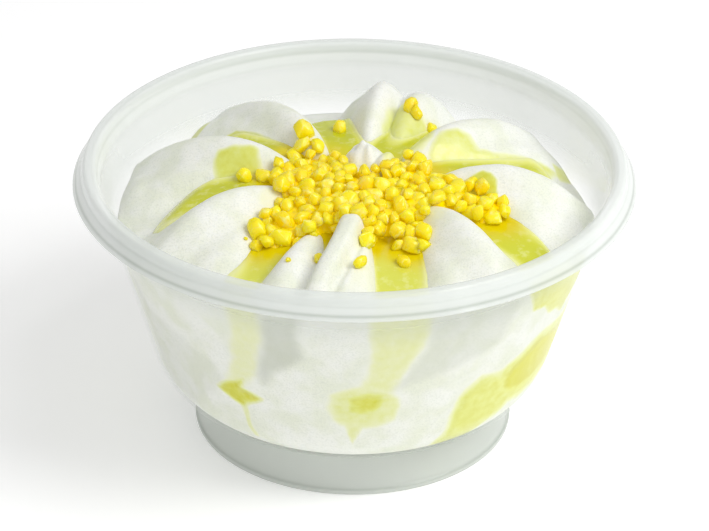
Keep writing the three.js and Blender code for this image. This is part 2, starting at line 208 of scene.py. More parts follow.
# %% Heights of the sauce and of the mound
SAUCE_MIDDLE, SAUCE_FALL, SAUCE_EDGE_FALL = 46.7, 0.0029, 0.12
SAUCE_RISE_START, SAUCE_RISE_END = 8.0, 20.0
# azimuth, reach and rise of the sauce in each valley
VALLEYS = [
    (34, 29, 1.2), (64, 35, 1.4), (98, 28, 1.0), (108, 31, 0.9), (118, 38, 0.8), (128, 42, 0.5),
    (146, 34, 0.1), (156, 34, 0.0), (163, 40, 0.0), (169, 44, 0.0), (176, 36, 0.0), (208, 41, 0.1),
    (216, 36, 0.2), (222, 32, 0.2), (232, 32, 0.3), (246, 36, 0.4), (256, 33, 0.9), (266, 29, 1.3),
    (277, 25, 1.5), (295, 24, 1.8), (314, 29, 2.4), (330, 24, 1.6), (348, 27, 1.6),
]
MOUND = {"x": 2, "y": -4.5, "half_x": 26, "half_y": 19, "top": 50.0, "fall": 4.2}


def around(azimuth, column):
    """One column of the valley table, carried on from valley to valley."""
    places = [row[0] for row in VALLEYS]
    return np.interp(azimuth, places, [row[column] for row in VALLEYS], period=360)


def sauce_height(x, y):
    r = np.hypot(x, y)
    azimuth = np.degrees(np.arctan2(x, y)) % 360
    beyond = np.maximum(0, r - around(azimuth, 1))
    lift = smooth_step((r - SAUCE_RISE_START) / (SAUCE_RISE_END - SAUCE_RISE_START))
    return SAUCE_MIDDLE - SAUCE_FALL * r * r - SAUCE_EDGE_FALL * beyond**2 + around(azimuth, 2) * lift


def mound_height(x, y):
    u = (x - MOUND["x"]) / MOUND["half_x"]
    v = (y - MOUND["y"]) / MOUND["half_y"]
    return MOUND["top"] - MOUND["fall"] * (u * u + v * v)


print("sauce level at the front wall", round(float(sauce_height(12.0, -40.0)), 1), "mm")

# %% [markdown]
# ## Small relief
#
# No piped surface is as even as a formula. Frozen foam is lumpy at a few millimetres and crumbly at a
# fraction of one. A displace modifier with a texture would do, but a seeded noise in code gives the
# same relief on every run and can also roughen the edges of the sauce films, so one helper serves both.


# %% Seeded noise
def soft_noise(points, size, seed):
    """Smooth noise from -1 to 1 over points in mm. size is the distance between its lumps."""
    table = np.random.default_rng(seed).uniform(-1, 1, 4096)
    scaled = np.asarray(points, float) / size
    cell = np.floor(scaled).astype(np.int64)
    part = scaled - cell
    part = part * part * (3 - 2 * part)
    total = np.zeros(len(scaled))
    for corner in np.ndindex(*(2,) * scaled.shape[1]):
        place = cell + corner
        key = np.zeros(len(scaled), np.int64)
        for axis, factor in enumerate((73856093, 19349663, 83492791)[: scaled.shape[1]]):
            key ^= place[:, axis] * factor
        weight = np.prod(np.where(np.array(corner) == 1, part, 1 - part), axis=1)
        total += weight * table[key & 4095]
    return total


def inside_distance(points, outline):
    """Distance in mm from points to a closed outline, more than 0 inside it."""
    corners = np.asarray(outline, float)
    ends = np.roll(corners, -1, axis=0)
    nearest = np.full(len(points), np.inf)
    inside = np.zeros(len(points), bool)
    for (ax, ay), (bx, by) in zip(corners, ends):
        edge = np.array([bx - ax, by - ay])
        offset = points - (ax, ay)
        share = np.clip(offset @ edge / (edge @ edge), 0, 1)
        nearest = np.minimum(nearest, np.linalg.norm(offset - share[:, None] * edge, axis=1))
        if ay != by:
            crosses = (points[:, 1] < ay) != (points[:, 1] < by)
            inside ^= crosses & (offset[:, 0] < offset[:, 1] * edge[0] / edge[1])
    return np.where(inside, nearest, -nearest)


def new_mesh(name, vertices, faces, attributes=None, smooth=True):
    """A mesh object from points in mm, with a number or a list per vertex for each attribute."""
    mesh = bpy.data.meshes.new(name)
    mesh.from_pydata((np.asarray(vertices) * MM).tolist(), [], [list(map(int, f)) for f in faces])
    for key, values in (attributes or {}).items():
        layer = mesh.attributes.new(key, "FLOAT", "POINT")
        layer.data.foreach_set("value", np.asarray(values, np.float32))
    mesh.polygons.foreach_set("use_smooth", [smooth] * len(mesh.polygons))
    mesh.update()
    piece = bpy.data.objects.new(name, mesh)
    bpy.context.collection.objects.link(piece)
    return piece


def triangles(piece):
    return sum(len(face.vertices) - 2 for face in piece.data.polygons)


print("noise at the middle", round(float(soft_noise([[1.5, 2.5, 3.5]], 4, 1)[0]), 3))

# %% [markdown]
# ## Where the sauce clings
#
# Besides the pools between the petals, the sauce lies on some petals as a film of less than half a
# millimetre, with a rounded edge. Each film is an outline seen from above, in millimetres. The ice
# cream is raised there, gets the sauce's colour and is glossy. A separate shell would flicker against
# the ice cream and have a hard edge, so the film is part of the ice cream's own surface. Grains that
# rolled away from the heap are listed here too, because the ice cream is tinted a faint yellow round them.

# %% Films on the petals
FILMS = [
    # outline, strength of the colour, softness of the edge in mm
    ([(20, -0.1), (21.2, 1), (22.7, 1.3), (24.2, 0.6), (25.1, -1), (25.4, -3.1), (24.6, -5), (22.5, -6),
      (19, -6), (19, -2.5)], 0.85, 0.7),
    ([(13.5, 9.8), (14, 12), (15.6, 14.4), (18.4, 15.8), (20.8, 15.9), (22, 14.6), (22.8, 13.5),
      (25.2, 13.9), (30.3, 15.7), (34, 16.2), (37.5, 15.4), (34, 12.5), (24, 9), (15, 6)], 0.62, 2.0),
    ([(5.2, 21.3), (5.9, 24.2), (7, 26.8), (8.1, 28.4), (9.6, 28.2), (11.6, 25.4), (13.6, 23.8), (15.5, 19),
      (14.2, 13.7), (12.2, 10.6), (8.3, 9.5), (6.4, 13), (5.6, 18)], 0.6, 2.4),
    ([(-25.5, 6.6), (-24.6, 8.2), (-21.5, 8.4), (-19.3, 7.9), (-17.6, 7.0), (-16.8, 5.4), (-16.6, 3.4),
      (-15, 0), (-18, -2), (-25, 0)], 0.72, 1.8),
    ([(-24, 22.4), (-22, 22.2), (-18.5, 19.6), (-15.6, 17), (-13.2, 14), (-11, 11.6), (-10, 9), (-13, 11),
      (-18, 15.5), (-23, 20)], 0.7, 0.9),
    ([(4.2, 8.6), (6, 9.8), (8.2, 9.6), (9, 6.4), (8, 3.6), (5.6, 2.6), (5.2, 4.4), (5.0, 6.4)], 0.5, 1.6),
    ([(3.6, -18), (3.8, -35), (-1, -36), (-0.6, -26), (0.6, -19)], 0.16, 2.2),
    ([(-12, -5), (-16, -6.4), (-17.4, -9.6), (-15, -11.5), (-11, -9)], 0.2, 1.8),
    ([(13, -10), (17.5, -13), (16, -17.5), (12.5, -15.5)], 0.2, 1.6),
]
FILM_DEPTH = 0.15
FILM_ROUNDING, FILM_OVERLAP = 1.3, 0.35
FILM_WAVER, FILM_WAVER_SIZE = 0.45, 2.6
THICK_FROM = 0.5
STRAYS = [
    # azimuth, radius, size
    (326, 16.5, 4.2), (321, 15.4, 3.8), (328, 12.7, 3.2), (353, 22.0, 3.2), (22, 27.4, 3.4), (25, 26.6, 3.0),
    (30, 28.2, 2.8), (278, 20.1, 3.6), (279, 16.7, 3.4), (95, 22.9, 3.6), (93, 20.7, 3.4), (111, 26.2, 4.6),
    (112, 22.4, 3.8), (152, 21.9, 4.6), (149, 23.0, 3.6), (160, 25.4, 3.0), (178, 29.7, 3.1),
    (193, 26.7, 2.2), (216, 21.6, 4.4), (213, 18.4, 3.6), (230, 17.2, 3.4), (222, 25.6, 3.0),
    (222, 23.7, 3.2), (174, 22.3, 3.6), (202, 30.4, 1.2),
]
HALO, HALO_REACH = 0.3, 0.6


def film_at(x, y):
    """How much film covers a point, and how thick it is in mm."""
    points = np.column_stack([x, y])
    waver = np.column_stack([soft_noise(points, FILM_WAVER_SIZE, seed) for seed in (11, 12)])
    cover, depth = np.zeros(len(points)), np.zeros(len(points))
    for outline, strength, softness in FILMS:
        inside = inside_distance(points + FILM_WAVER * waver, outline)
        edge = smooth_step(inside / softness + 0.5)
        cover = np.maximum(cover, strength * edge)
        if strength > THICK_FROM:
            rounded_edge = smooth_step(inside / FILM_ROUNDING + FILM_OVERLAP)
            depth = np.maximum(depth, FILM_DEPTH * rounded_edge)
    for azimuth, radius, size in STRAYS:
        place = (radius * math.sin(math.radians(azimuth)), radius * math.cos(math.radians(azimuth)))
        apart = np.hypot(x - place[0], y - place[1]) / (HALO_REACH * size)
        cover = np.maximum(cover, HALO * np.exp(-(apart**2)))
    return cover, depth


print(len(FILMS), "films,", len(STRAYS), "stray grains")

# %% [markdown]
# ## What shows through the wall
#
# Sauce that ran down before the cup was filled up shows through the wall as green streaks, and between
# lobes, where a little air lies behind the wall, the side is greyed with painted shade. They lie on the
# side of the ice cream, so their outlines are given by azimuth and height. Streaks only colour the side.
# A shaded place is also pressed in a little. The last three streaks, at the left side and the back, are
# a guess, as the photograph shows only the front.

# %% Streaks and gaps on the side
WALL_ROUND = 43.0


def along_wall(azimuth):
    return (azimuth - 180) * math.pi / 180 * WALL_ROUND


STREAKS = [
    # outline as azimuth and height, strength, softness in mm
    ([(210, 47), (200.6, 47), (201.6, 41), (203.2, 34), (205, 29), (209.3, 25.5), (214, 25), (215.2, 26.4),
      (212, 32), (210.6, 38)], 0.32, 3.4),
    ([(219, 23.5), (213.8, 25.8), (208.6, 28), (210.2, 25.4), (204.2, 23.8), (207.4, 22), (210.7, 20.3),
      (213.4, 21.4), (216, 22.4)], 0.95, 1.6),
    ([(211.8, 21.6), (209.5, 21.2), (209.6, 17.6), (208.4, 13.6), (210, 12.8), (211, 16)], 0.4, 0.9),
    ([(176.4, 48), (162.8, 47), (162, 42), (163, 38), (165.4, 34.6), (168, 31.4), (169.7, 27.8),
      (178.4, 28), (177.4, 31), (175.8, 35), (176, 41)], 0.42, 3.0),
    ([(185.4, 27.2), (182.4, 28.5), (177.4, 29.5), (171.5, 28.8), (168.6, 26.5), (167.6, 24), (168.5, 21),
      (172.5, 19.9), (177, 19.4), (181.6, 19.5), (185, 21.4), (186.4, 24.2)], 0.5, 2.8),
    ([(182.4, 26.8), (177.3, 28.3), (171.8, 28), (170.6, 25), (173.6, 22.6), (178, 21.9), (181.6, 22.8)],
     0.85, 4.0),
    ([(182.6, 20.8), (177.4, 20.4), (178.4, 17.5), (180.3, 14.6), (181.6, 17.3)], 0.45, 1.2),
    ([(98, 31), (111, 29.6), (122.8, 30.4), (130.6, 28.7), (138, 26.2), (145, 26.6), (149.2, 24.6),
      (151, 20.6), (152.6, 16.5), (155, 11.5), (149, 10), (143, 11), (137.6, 13.6), (130.2, 16.4),
      (121.7, 16.4), (112, 17), (98, 20)], 0.74, 3.2),
    ([(96, 29.6), (108, 28.2), (122.4, 29.6), (129.6, 28), (135.7, 25), (135.5, 21), (128, 18.2),
      (121.5, 18.4), (114, 18.6), (96, 21.5)], 1.0, 3.2),
    ([(137.5, 47), (132.2, 38.4), (127.6, 38), (122.6, 34.8), (115.3, 32.4), (108, 36), (104, 42),
      (112, 47)], 0.75, 1.2),
    ([(70, 44), (64, 44), (62, 36), (58, 29), (52, 24), (57, 23), (64, 28), (69, 35)], 0.5, 1.6),
    ([(318, 42), (310, 42), (311, 35), (306, 27), (300, 22), (306, 20), (314, 27), (319, 35)], 0.45, 1.8),
    ([(281, 30), (270, 28), (266, 22), (272, 17), (280, 20), (284, 25)], 0.5, 1.8),
]
# Painted shade: outline as azimuth and height, strength, softness in mm
SHADES = [
    ([(200.6, 45), (192.6, 46), (193.2, 40.6), (193.2, 38), (191.9, 35.4), (196.3, 33), (200, 30.6),
      (203.4, 27.6), (204.4, 29.8), (202.8, 34.3), (201.4, 38.6)], 0.6, 2.6),
    ([(248, 38), (240.4, 32.8), (229.2, 31.6), (218.4, 28.8), (215.4, 25.6), (218, 23), (233.5, 14),
      (250, 16)], 0.2, 2.6),
    ([(162.6, 46), (138, 44), (139.4, 39), (142, 34.8), (147, 32.6), (155.3, 31.2), (164, 29.4), (169, 28.4),
      (166, 32.8), (162.8, 36.8), (162, 41)], 0.34, 3.0),
]
SHADE_DEPTH = 0.3
SIDE_WAVER, SIDE_WAVER_SIZE = 0.5, 3.2
STREAK_SEED, SHADE_SEED = 31, 41


def painted(azimuth, height, regions, seed):
    points = np.column_stack([along_wall(azimuth), height])
    waver = np.column_stack([soft_noise(points, SIDE_WAVER_SIZE, s) for s in (seed, seed + 1)])
    points = points + SIDE_WAVER * waver
    cover = np.zeros(len(points))
    for outline, strength, softness in regions:
        flat = [(along_wall(a), z) for a, z in outline]
        inside = inside_distance(points, flat)
        cover = np.maximum(cover, strength * smooth_step(inside / softness + 0.5))
    return cover


print(len(STREAKS), "streaks and", len(SHADES), "gaps")

# %% [markdown]
# ## The ice cream
#
# The ice cream is one closed body: a top that follows the height field, a side that follows the cup's
# wall and a round bottom. A fine polar grid suits it, because its outer ring lies on the wall exactly.
# The side reaches a tenth of a millimetre into the plastic, so no ring of air shows at the wall. Along
# the front a thin skin is pressed up the wall to just under the flange, higher than in the CAD model,
# because the photograph shows no line there where the ice cream leaves the wall.

# %% The cup's wall as numbers
WALL_THICKNESS = 0.8
WALL_SLOPE = 0.293
WALL_AT_FLANGE = 46.2
FLANGE_Z = 48.7
BELLY_RADIUS, BELLY_R, BELLY_Z = 12.5, 24.8, 20.0
INTO_WALL = 0.12
WALL_ANGLE = math.atan(WALL_SLOPE)
BELLY_TOP = BELLY_Z - BELLY_RADIUS * math.sin(WALL_ANGLE)


def inner_wall(z, gap=-INTO_WALL):
    across = math.hypot(1, WALL_SLOPE)
    return WALL_AT_FLANGE + WALL_SLOPE * (z - FLANGE_Z) - (WALL_THICKNESS + gap) * across


def wall_meeting(surface, azimuth):
    """The height at which a top surface meets the wall."""
    z = np.full(len(azimuth), FLOOR_WALL)
    for _ in range(8):
        r = inner_wall(z)
        z = surface(r * np.sin(azimuth), r * np.cos(azimuth))
    return z


print("inner wall at the flange", round(inner_wall(FLANGE_Z, 0), 2), "mm")

# %% Ice cream's grid
AROUND = 480
TOP_RINGS = 112
SIDE_ROWS = 64
BOWL_ROWS = 16
SKIN_ABOVE = 0.4
SKIN_RINGS = 7
SKIN_FALL = 0.16
PRESSED_UP = 47.4
PRESSED_FROM, PRESSED_TO, PRESSED_EASE = 112, 246, 14
KNOBS = [
    # azimuth, radius, rise and spread in mm
    (32, 6.4, 0.6, 1.6), (50, 9.0, 3.3, 2.1), (2, 6.2, 0.5, 1.3), (46, 10.6, 0.6, 1.6), (352, 8.1, 0.5, 1.4),
    (54, 5.7, 0.5, 1.4), (12, 9.7, 0.5, 1.5), (278, 40.6, 0.9, 2.6), (284, 41.5, 0.7, 2.0),
    (318, 42, 0.8, 2.8), (325, 42.4, 0.6, 2.2), (241, 42, 0.5, 2.4), (90, 42.5, 0.5, 2.4),
]
TORN_REACH, TORN_SIZE, TORN_SEED = 5.0, 1.3, 23
TORN_RISE, TORN_AWAY = 0.75, 1.5
RELIEF = [
    # rise and size of the lumps in mm, seed
    (0.16, 4.5, 21), (0.07, 1.7, 22), (0.035, 0.8, 24),
]
GROOVES = [
    # petal by its place in the table, offset from its ridge, depth, width and reach in mm
    (0, -4.4, 0.35, 1.2, 38), (2, 5.0, 0.3, 1.4, 40), (2, -4.6, 0.25, 1.2, 38), (3, 4.6, 0.3, 1.4, 40),
    (3, -5.4, 0.3, 1.4, 40), (4, -5.2, 0.45, 1.6, 41), (4, 5.6, 0.35, 1.6, 41), (6, -3.0, 0.3, 1.0, 42),
    (7, 6.2, 0.35, 1.8, 41), (7, -6.4, 0.5, 1.9, 41), (8, -5.0, 0.35, 1.6, 40), (8, 5.0, 0.3, 1.4, 40),
    (9, 4.4, 0.3, 1.3, 38), (9, -4.6, 0.3, 1.3, 38),
]
GROOVE_START, GROOVE_IN, GROOVE_OUT = 17.0, 4, 5
FOLD_GROOVE = {"offset": -2.8, "depth": 1.1, "width": 0.75, "reach": 41}


def groove(ridge, r, azimuth, offset, depth, width, reach):
    """A shallow groove that runs beside a ridge, as the nozzle's teeth leave it."""
    side = r * np.sin(np.radians(turn_from(ridge_azimuth(ridge, r), azimuth)))
    ahead = np.abs(turn_from(ridge_azimuth(ridge, r), azimuth)) < 90
    along = smooth_step((r - GROOVE_START) / GROOVE_IN) * smooth_step((reach - r) / GROOVE_OUT)
    return np.where(ahead, -depth * along * np.exp(-(((side - offset) / width) ** 2)), 0)


def lumps(x, y, z):
    """The foam's relief: lumps, frost, grooves, knobs, and torn strands round the tip."""
    points = np.column_stack([x, y, z])
    relief = sum(rise * soft_noise(points, size, seed) for rise, size, seed in RELIEF)
    r, turned_to = np.hypot(x, y), np.degrees(np.arctan2(x, y)) % 360
    for number, *numbers in GROOVES:
        relief += groove(PETALS[number], r, turned_to, *numbers)
    relief += groove(FOLD, r, turned_to, **FOLD_GROOVE)
    for azimuth, radius, rise, spread in KNOBS:
        place = (radius * math.sin(math.radians(azimuth)), radius * math.cos(math.radians(azimuth)))
        apart = np.hypot(x - place[0], y - place[1])
        relief += rise * np.exp(-((apart / spread) ** 2))
    from_tip = np.hypot(x - TIPS[0]["x"], y - TIPS[0]["y"]) / TORN_REACH
    strands = soft_noise(points * (1, 1, 0.3), TORN_SIZE, TORN_SEED)
    return relief + np.exp(-(from_tip**2)) * (TORN_RISE * strands - TORN_AWAY)


def furrowed(x, y):
    """The ice cream's height with its lumps, and with the films that cover it."""
    cover, depth = film_at(x, y)
    z = ice_height(x, y)
    return z + lumps(x, y, z) * (1 - 0.5 * np.minimum(1, cover)) + depth, cover


def wall_cover(x, y):
    """Where sauce meets the wall, and all along the front, a thin skin is pressed up the wall."""
    cover = np.maximum(ice_height(x, y), sauce_height(x, y) + SKIN_ABOVE)
    azimuth = np.degrees(np.arctan2(x, y)) % 360
    begun = smooth_step((azimuth - PRESSED_FROM) / PRESSED_EASE)
    pressed = begun * smooth_step((PRESSED_TO - azimuth) / PRESSED_EASE)
    return cover + pressed * np.maximum(0, PRESSED_UP - cover)


def ice_cream_grid():
    azimuth = -np.arange(AROUND) * 2 * math.pi / AROUND
    degrees = np.degrees(azimuth) % 360
    sine, cosine = np.sin(azimuth), np.cos(azimuth)
    meeting = wall_meeting(wall_cover, azimuth)
    edge = inner_wall(meeting)
    skin_streak = painted(degrees, meeting, STREAKS, STREAK_SEED)
    rows, cover, shade = [], [], []
    for ring in range(1, TOP_RINGS + 1):
        r = edge * ring / TOP_RINGS
        x, y = r * sine, r * cosine
        z, film = furrowed(x, y)
        from_wall = TOP_RINGS - ring
        if from_wall == 0:
            z = meeting
        elif from_wall < SKIN_RINGS:
            z = np.maximum(z, meeting - SKIN_FALL * from_wall**2)
        if from_wall < SKIN_RINGS:
            film = np.maximum(film, skin_streak)
        rows.append(np.column_stack([x, y, z]))
        cover.append(film)
        shade.append(np.zeros(AROUND))
    bowl_radius = BELLY_RADIUS - WALL_THICKNESS + INTO_WALL
    for row in range(1, SIDE_ROWS + 1):
        z = meeting + (BELLY_TOP - meeting) * row / SIDE_ROWS
        # painted shade where air lies behind the wall; the same mask presses the side in a little
        pressed = painted(degrees, z, SHADES, SHADE_SEED)
        r = inner_wall(z) - SHADE_DEPTH * pressed**2
        rows.append(np.column_stack([r * sine, r * cosine, z]))
        cover.append(painted(degrees, z, STREAKS, STREAK_SEED))
        shade.append(pressed)
    for row in range(1, BOWL_ROWS + 1):
        angle = -WALL_ANGLE + (WALL_ANGLE - math.pi / 2) * row / BOWL_ROWS
        r = BELLY_R + bowl_radius * math.cos(angle)
        z = np.full(AROUND, BELLY_Z + bowl_radius * math.sin(angle))
        rows.append(np.column_stack([r * sine, r * cosine, z]))
        cover.append(painted(degrees, z, STREAKS, STREAK_SEED))
        shade.append(painted(degrees, z, SHADES, SHADE_SEED))
    return rows, cover, shade


def closed_grid(name, rows, top, bottom, values):
    """A closed body from rows of points around the axis, with a point in the middle at both ends."""
    count = len(rows[0])
    vertices = np.vstack([[top], *rows, [bottom]])
    here = np.arange(count)
    ahead = (here + 1) % count
    faces = [(0, 1 + a, 1 + b) for a, b in zip(here, ahead)]
    for row in range(len(rows) - 1):
        first, second = 1 + row * count, 1 + (row + 1) * count
        faces += [(first + a, second + a, second + b, first + b) for a, b in zip(here, ahead)]
    last = 1 + (len(rows) - 1) * count
    faces += [(len(vertices) - 1, last + b, last + a) for a, b in zip(here, ahead)]
    return new_mesh(name, vertices, faces, values)


rows, cover, shade = ice_cream_grid()
middle, middle_film = furrowed(np.zeros(1), np.zeros(1))
bottom_z = BELLY_Z - (BELLY_RADIUS - WALL_THICKNESS + INTO_WALL)
ice_cream = closed_grid("ice_cream_rosette", rows, (0, 0, middle[0]), (0, 0, bottom_z), {
    "film": np.concatenate([middle_film, *cover, [0]]),
    "shade": np.concatenate([[0], *shade, [0]]),
})
print("ice cream", triangles(ice_cream), "triangles")

# %% [markdown]
# ## The sauce
#
# The pools are one closed body of their own. Its top is level but for a slow swell and a slight rise
# where it wets the petals. Its bottom is buried in the ice cream, so its shores are where the two
# surfaces really cross. Only the parts that lie above the ice cream, and a little beyond the shore, are
# made. The sauce is deeper in colour where it is deeper, so the depth is kept for the material.

# %% The heap's outline
HEAP_OUTLINE = [
    (-13, 6), (-14.5, 1.5), (-13.2, -3), (-13, -8), (-14, -11), (-16.4, -14.5), (-17.8, -17.5),
    (-16, -19.8), (-12, -19), (-8, -17.5), (-5.5, -16), (-4, -15.5), (0, -17), (2.5, -19.2), (5, -17),
    (7.6, -15.5), (8, -19.5), (10.4, -20.6), (12.4, -18.6), (11.5, -15.2), (13, -13.5), (15.5, -12),
    (18, -8), (20.6, -8.6), (22.8, -11), (26, -10), (27.2, -7.6), (25.8, -4.2), (22, -2.6), (18.5, -1),
    (15.5, 1), (14, 4.4), (11.5, 7), (9.5, 8.2), (7.4, 4.5), (6.4, 2.6), (2.6, 0.6), (-1.2, 3.4), (-2.8, 7),
    (-4.5, 11.2), (-8, 11.8), (-11, 11), (-12, 9),
]
print("heap outline of", len(HEAP_OUTLINE), "points")

# %% Sauce between the petals
SAUCE_RINGS = 120
SHORE = 0.8
BURIED = 0.7
BEHIND_SKIN = 1.4
SWELL = [
    # rise and size in mm, seed
    (0.10, 6.5, 51), (0.035, 2.2, 52),
]
WETTING_RISE, WETTING_DEPTH = 0.3, 0.55
HEAP_TINT_EDGE, HEAP_TINT_FADE = 1.5, 4


def closed_patch(name, x, y, top, bottom, keep, values):
    """A closed body between two heights over a polar grid, rows outwards, where keep is true."""
    index = np.arange(x.size).reshape(x.shape)
    ahead = np.roll(index, -1, axis=1)
    held = keep | np.roll(keep, -1, axis=1)
    held = held[:-1] | held[1:]
    quads = np.stack([index[:-1], index[1:], ahead[1:], ahead[:-1]], axis=-1)[held]
    size = x.size
    faces = quads.tolist() + (quads[:, ::-1] + size).tolist()
    edges = {}
    for quad in quads.tolist():
        for a, b in zip(quad, quad[1:] + quad[:1]):
            if (b, a) in edges:
                del edges[b, a]
            else:
                edges[a, b] = True
    faces += [(b, a, a + size, b + size) for a, b in edges]
    points = np.vstack([
        np.column_stack([x.ravel(), y.ravel(), top.ravel()]),
        np.column_stack([x.ravel(), y.ravel(), bottom.ravel()]),
    ])
    used = np.unique(np.array([v for face in faces for v in face]))
    place = np.full(len(points), -1)
    place[used] = np.arange(len(used))
    faces = [[place[v] for v in face] for face in faces]
    doubled = {key: np.tile(value.ravel(), 2)[used] for key, value in values.items()}
    return new_mesh(name, points[used], faces, doubled)


def sauce_pools():
    azimuth = -np.arange(AROUND) * 2 * math.pi / AROUND
    edge = inner_wall(wall_meeting(sauce_height, azimuth))
    share = np.linspace(0.06, 1, SAUCE_RINGS)
    r = share[:, None] * (edge[None] - BEHIND_SKIN)
    x, y = r * np.sin(azimuth), r * np.cos(azimuth)
    level = sauce_height(x, y)
    flat = np.column_stack([x.ravel(), y.ravel()])
    ice = ice_height(x, y) + lumps(x.ravel(), y.ravel(), ice_height(x, y).ravel()).reshape(x.shape)
    depth = level - ice
    swell = sum(rise * soft_noise(flat, size, seed) for rise, size, seed in SWELL)
    wetting = WETTING_RISE * np.exp(-((np.maximum(depth, 0) / WETTING_DEPTH) ** 2))
    top = level + swell.reshape(x.shape) + wetting
    bottom = np.minimum(ice, top) - BURIED
    keep = depth > -SHORE
    from_heap = np.minimum(0, inside_distance(flat, HEAP_OUTLINE) + HEAP_TINT_EDGE)
    near = np.exp(from_heap / HEAP_TINT_FADE).reshape(x.shape)
    return closed_patch(
        "sauce_pools", x, y, top, bottom, keep, {"depth": depth, "near_heap": near}
    )


sauce = sauce_pools()
print("sauce", triangles(sauce), "triangles")

# %% [markdown]
# ## Nougat grains
#
# The topping is a heap of hard yellow grains, mostly 2.5 to 4.5 mm long, broken from a slab: flat faces
# with worn, paler edges. A sphere with noise on it would look like a pebble. Each grain is cut instead
# by thirteen planes around its middle. The corners of such a body are found through its dual: the hull of one
# point for each plane has a face for each corner. Every face is then set in, and the corners are rubbed
# down a little, so that a sloping rim runs round each face. The rim's corners, and some whole faces, carry
# the mask of the pale crust that the material paints.

# %% One grain
GRAIN_CUTS = 13
CUT_UNEVEN = 0.38
RIM_SHARE = 0.3
WORN = 0.9
CRUST_SHARE = 0.3
POINT_UNEVEN = 0.025
GRAIN_WIDTH, GRAIN_HEIGHT = (0.75, 0.98), (0.62, 0.88)


def even_directions(count):
    """Directions spread evenly over a sphere, on a spiral."""
    height = 1 - 2 * (np.arange(count) + 0.5) / count
    turn = np.arange(count) * math.pi * (3 - math.sqrt(5))
    level = np.sqrt(1 - height**2)
    return np.column_stack([level * np.cos(turn), level * np.sin(turn), height])


def random_turn(draw):
    """A random rotation matrix."""
    q = draw.normal(size=4)
    w, x, y, z = q / np.linalg.norm(q)
    return np.array([
        [1 - 2 * (y * y + z * z), 2 * (x * y - z * w), 2 * (x * z + y * w)],
        [2 * (x * y + z * w), 1 - 2 * (x * x + z * z), 2 * (y * z - x * w)],
        [2 * (x * z - y * w), 2 * (y * z + x * w), 1 - 2 * (x * x + y * y)],
    ])


def cut_body(cuts, reach):
    """Corners of the body inside the planes cuts . p = reach, and each plane's corners in order."""
    hull = bmesh.new()
    spots = [hull.verts.new(cut / far) for cut, far in zip(cuts, reach)]
    bmesh.ops.convex_hull(hull, input=spots)
    hull.faces.index_update()
    hull.normal_update()
    corners = []
    for face in hull.faces:
        normal = np.array(face.normal)
        corners.append(normal / (normal @ np.array(face.verts[0].co)))
    corners = np.array(corners)
    outlines = []
    for spot, cut in zip(spots, cuts):
        around_cut = [face.index for face in spot.link_faces]
        if len(around_cut) < 3:
            continue
        side = np.cross(cut, (0.3, 0.5, 0.8))
        up = np.cross(cut, side)
        offset = corners[around_cut] - corners[around_cut].mean(axis=0)
        order = np.argsort(np.arctan2(offset @ up, offset @ side))
        outlines.append([around_cut[i] for i in order])
    hull.free()
    return corners, outlines


def grain_shape(size, draw):
    """Points in mm of a grain of that size around the origin, its faces, and each point's edge mask."""
    cuts = even_directions(GRAIN_CUTS) @ random_turn(draw).T
    cuts += CUT_UNEVEN * draw.uniform(-1, 1, cuts.shape)
    cuts /= np.linalg.norm(cuts, axis=1)[:, None]
    corners, outlines = cut_body(cuts, draw.uniform(0.8, 1.0, GRAIN_CUTS))
    far = np.linalg.norm(corners, axis=1)
    corners *= (np.minimum(far, 1.3) / far)[:, None]
    points, faces = [*(corners * WORN)], []
    edge = [*draw.uniform(0.2, 1.0, len(corners))]
    for outline in outlines:
        middle = corners[outline].mean(axis=0)
        first = len(points)
        points += [*(corners[outline] + RIM_SHARE * (middle - corners[outline]))]
        crusted = draw.random() < CRUST_SHARE
        edge += [*draw.uniform(0.1, 0.9, len(outline)) * crusted]
        inner = list(range(first, len(points)))
        faces.append(inner)
        for i in range(len(outline)):
            j = (i + 1) % len(outline)
            faces.append([outline[i], outline[j], inner[j], inner[i]])
    points = np.array(points) + POINT_UNEVEN * draw.normal(size=(len(points), 3))
    points = points * (1, draw.uniform(*GRAIN_WIDTH), draw.uniform(*GRAIN_HEIGHT))
    points *= size / np.ptp(points, axis=0).max()
    return points @ random_turn(draw).T, faces, edge


print("a grain has", len(grain_shape(3.0, np.random.default_rng(1))[1]), "faces")

# %% [markdown]
# ## The heap
#
# Grains are dropped one by one on the mound: each comes to rest on the surface below it or on the
# grains that are there already. That looks more like a real heap than grains laid on a grid. The grains
# that have rolled away from it are the strays listed with the films, where the photograph shows them.
# The heap covers about as much ground as the CAD model's, but its outline follows the photograph more
# closely, so three quarters of the two footprints together are shared.

# %% Where grains lie
HEAP_TRIES = 9000
HEAP_MARGIN = 0.4
SMALLEST, SIZE_SPREAD, SIZE_POWER = 2.5, 2.0, 1.4
CLIMB = 0.5
STRAY_LIFT, HEAP_LIFT = 0.16, 0.08
CLOSENESS = 0.35
PILED_UP = 1.9
UNDER_MOUND = 1.2


def resting_surface(x, y):
    ground = np.maximum(ice_height(x, y), sauce_height(x, y))
    return np.maximum(ground, mound_height(x, y) - UNDER_MOUND)


